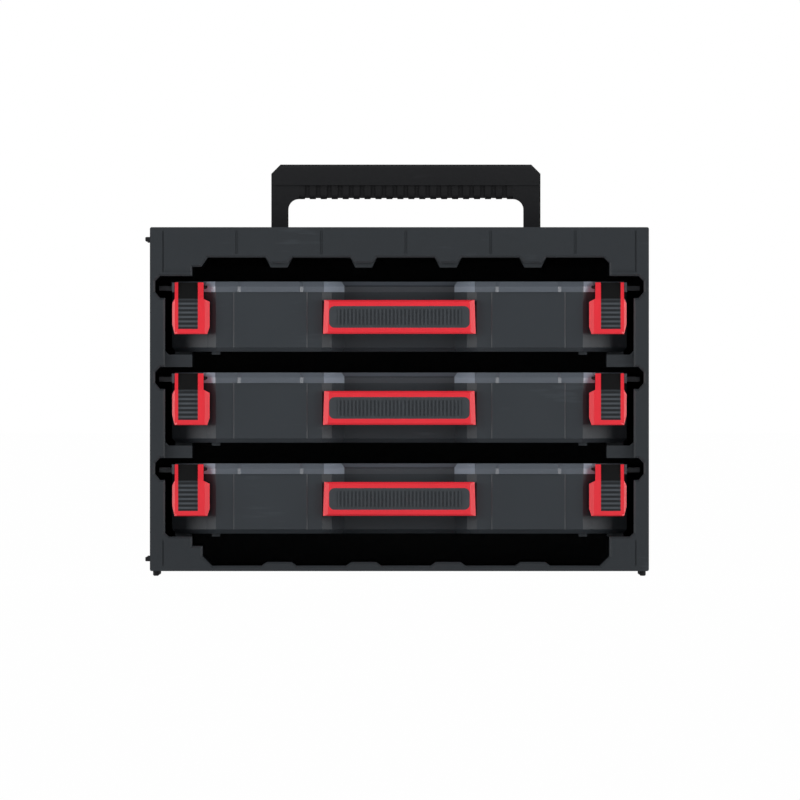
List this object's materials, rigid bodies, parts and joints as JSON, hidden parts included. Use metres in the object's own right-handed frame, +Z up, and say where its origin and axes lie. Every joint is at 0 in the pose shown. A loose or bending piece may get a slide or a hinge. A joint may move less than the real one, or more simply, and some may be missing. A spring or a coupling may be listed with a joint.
{
  "type": "organizer case",
  "caption": "Open-front carrying case with a folding top handle, holding pull-out organizer boxes with hinged lids, corner latches and front grips.",
  "frame": {"origin": "bottom centre of the case on the floor", "axes": "+X to the right, +Y from the open front to the back, +Z up"},
  "size_m": [0.419, 0.29, 0.343],
  "materials": {
    "case_plastic": "fine moulded grain, dark grey",
    "handle_plastic": "fine moulded grain, near black",
    "grip_rubber": "soft matt grip",
    "tray_plastic": "smooth moulded dark grey",
    "lid_smoke": "smoked grey, half gloss",
    "red_plastic": "satin red",
    "pad_rubber": "ribbed soft pad, dark grey",
    "foot_rubber": "matt black",
    "steel": "plain bright pins and screws"
  },
  "bodies": {
    "case": {"case_shell": "case_plastic", "left_runners": "case_plastic", "right_runners": "case_plastic", "back_panel": "case_plastic", "back_screws": "steel", "case_feet": "foot_rubber", "link_pegs": "foot_rubber", "handle_pins": "steel"},
    "handle": {"carry_handle": "handle_plastic", "carry_grip": "grip_rubber"},
    "lower_box": {"lower_tray": "tray_plastic", "lower_dividers": "tray_plastic", "lower_lid": "lid_smoke", "lower_hinge_pins": "steel", "lower_grip": "red_plastic", "lower_grip_pad": "pad_rubber", "lower_left_latch_pin": "handle_plastic", "lower_right_latch_pin": "handle_plastic"},
    "lower_left_lever": {"lower_left_latch": "red_plastic", "lower_left_latch_pad": "pad_rubber"},
    "lower_right_lever": {"lower_right_latch": "red_plastic", "lower_right_latch_pad": "pad_rubber"},
    "middle_box": {"middle_tray": "tray_plastic", "middle_dividers": "tray_plastic", "middle_lid": "lid_smoke", "middle_hinge_pins": "steel", "middle_grip": "red_plastic", "middle_grip_pad": "pad_rubber", "middle_left_latch_pin": "handle_plastic", "middle_right_latch_pin": "handle_plastic"},
    "middle_left_lever": {"middle_left_latch": "red_plastic", "middle_left_latch_pad": "pad_rubber"},
    "middle_right_lever": {"middle_right_latch": "red_plastic", "middle_right_latch_pad": "pad_rubber"},
    "upper_box": {"upper_tray": "tray_plastic", "upper_dividers": "tray_plastic", "upper_lid": "lid_smoke", "upper_hinge_pins": "steel", "upper_grip": "red_plastic", "upper_grip_pad": "pad_rubber", "upper_left_latch_pin": "handle_plastic", "upper_right_latch_pin": "handle_plastic"},
    "upper_left_lever": {"upper_left_latch": "red_plastic", "upper_left_latch_pad": "pad_rubber"},
    "upper_right_lever": {"upper_right_latch": "red_plastic", "upper_right_latch_pad": "pad_rubber"}
  },
  "joints": [
    {"name": "handle_fold", "type": "hinge", "parent": "case", "child": "handle", "pos_m": [0.00532, 0, 0.28004], "axis": [-1, 0, 0], "range_deg": [0, 90]},
    {"name": "lower_slide", "type": "slide", "parent": "case", "child": "lower_box", "axis": [0, -1, 0], "range_m": [0, 0.2]},
    {"name": "lower_left_latch_swing", "type": "hinge", "parent": "lower_box", "child": "lower_left_lever", "pos_m": [-0.17485, -0.132, 0.08876], "axis": [-1, 0, 0], "range_deg": [0, 75]},
    {"name": "lower_right_latch_swing", "type": "hinge", "parent": "lower_box", "child": "lower_right_lever", "pos_m": [0.17485, -0.132, 0.08876], "axis": [-1, 0, 0], "range_deg": [0, 75]},
    {"name": "middle_slide", "type": "slide", "parent": "case", "child": "middle_box", "axis": [0, -1, 0], "range_m": [0, 0.2]},
    {"name": "middle_left_latch_swing", "type": "hinge", "parent": "middle_box", "child": "middle_left_lever", "pos_m": [-0.17485, -0.132, 0.16443], "axis": [-1, 0, 0], "range_deg": [0, 75]},
    {"name": "middle_right_latch_swing", "type": "hinge", "parent": "middle_box", "child": "middle_right_lever", "pos_m": [0.17485, -0.132, 0.16443], "axis": [-1, 0, 0], "range_deg": [0, 75]},
    {"name": "upper_slide", "type": "slide", "parent": "case", "child": "upper_box", "axis": [0, -1, 0], "range_m": [0, 0.2]},
    {"name": "upper_left_latch_swing", "type": "hinge", "parent": "upper_box", "child": "upper_left_lever", "pos_m": [-0.17485, -0.132, 0.2401], "axis": [-1, 0, 0], "range_deg": [0, 75]},
    {"name": "upper_right_latch_swing", "type": "hinge", "parent": "upper_box", "child": "upper_right_lever", "pos_m": [0.17485, -0.132, 0.2401], "axis": [-1, 0, 0], "range_deg": [0, 75]}
  ]
}
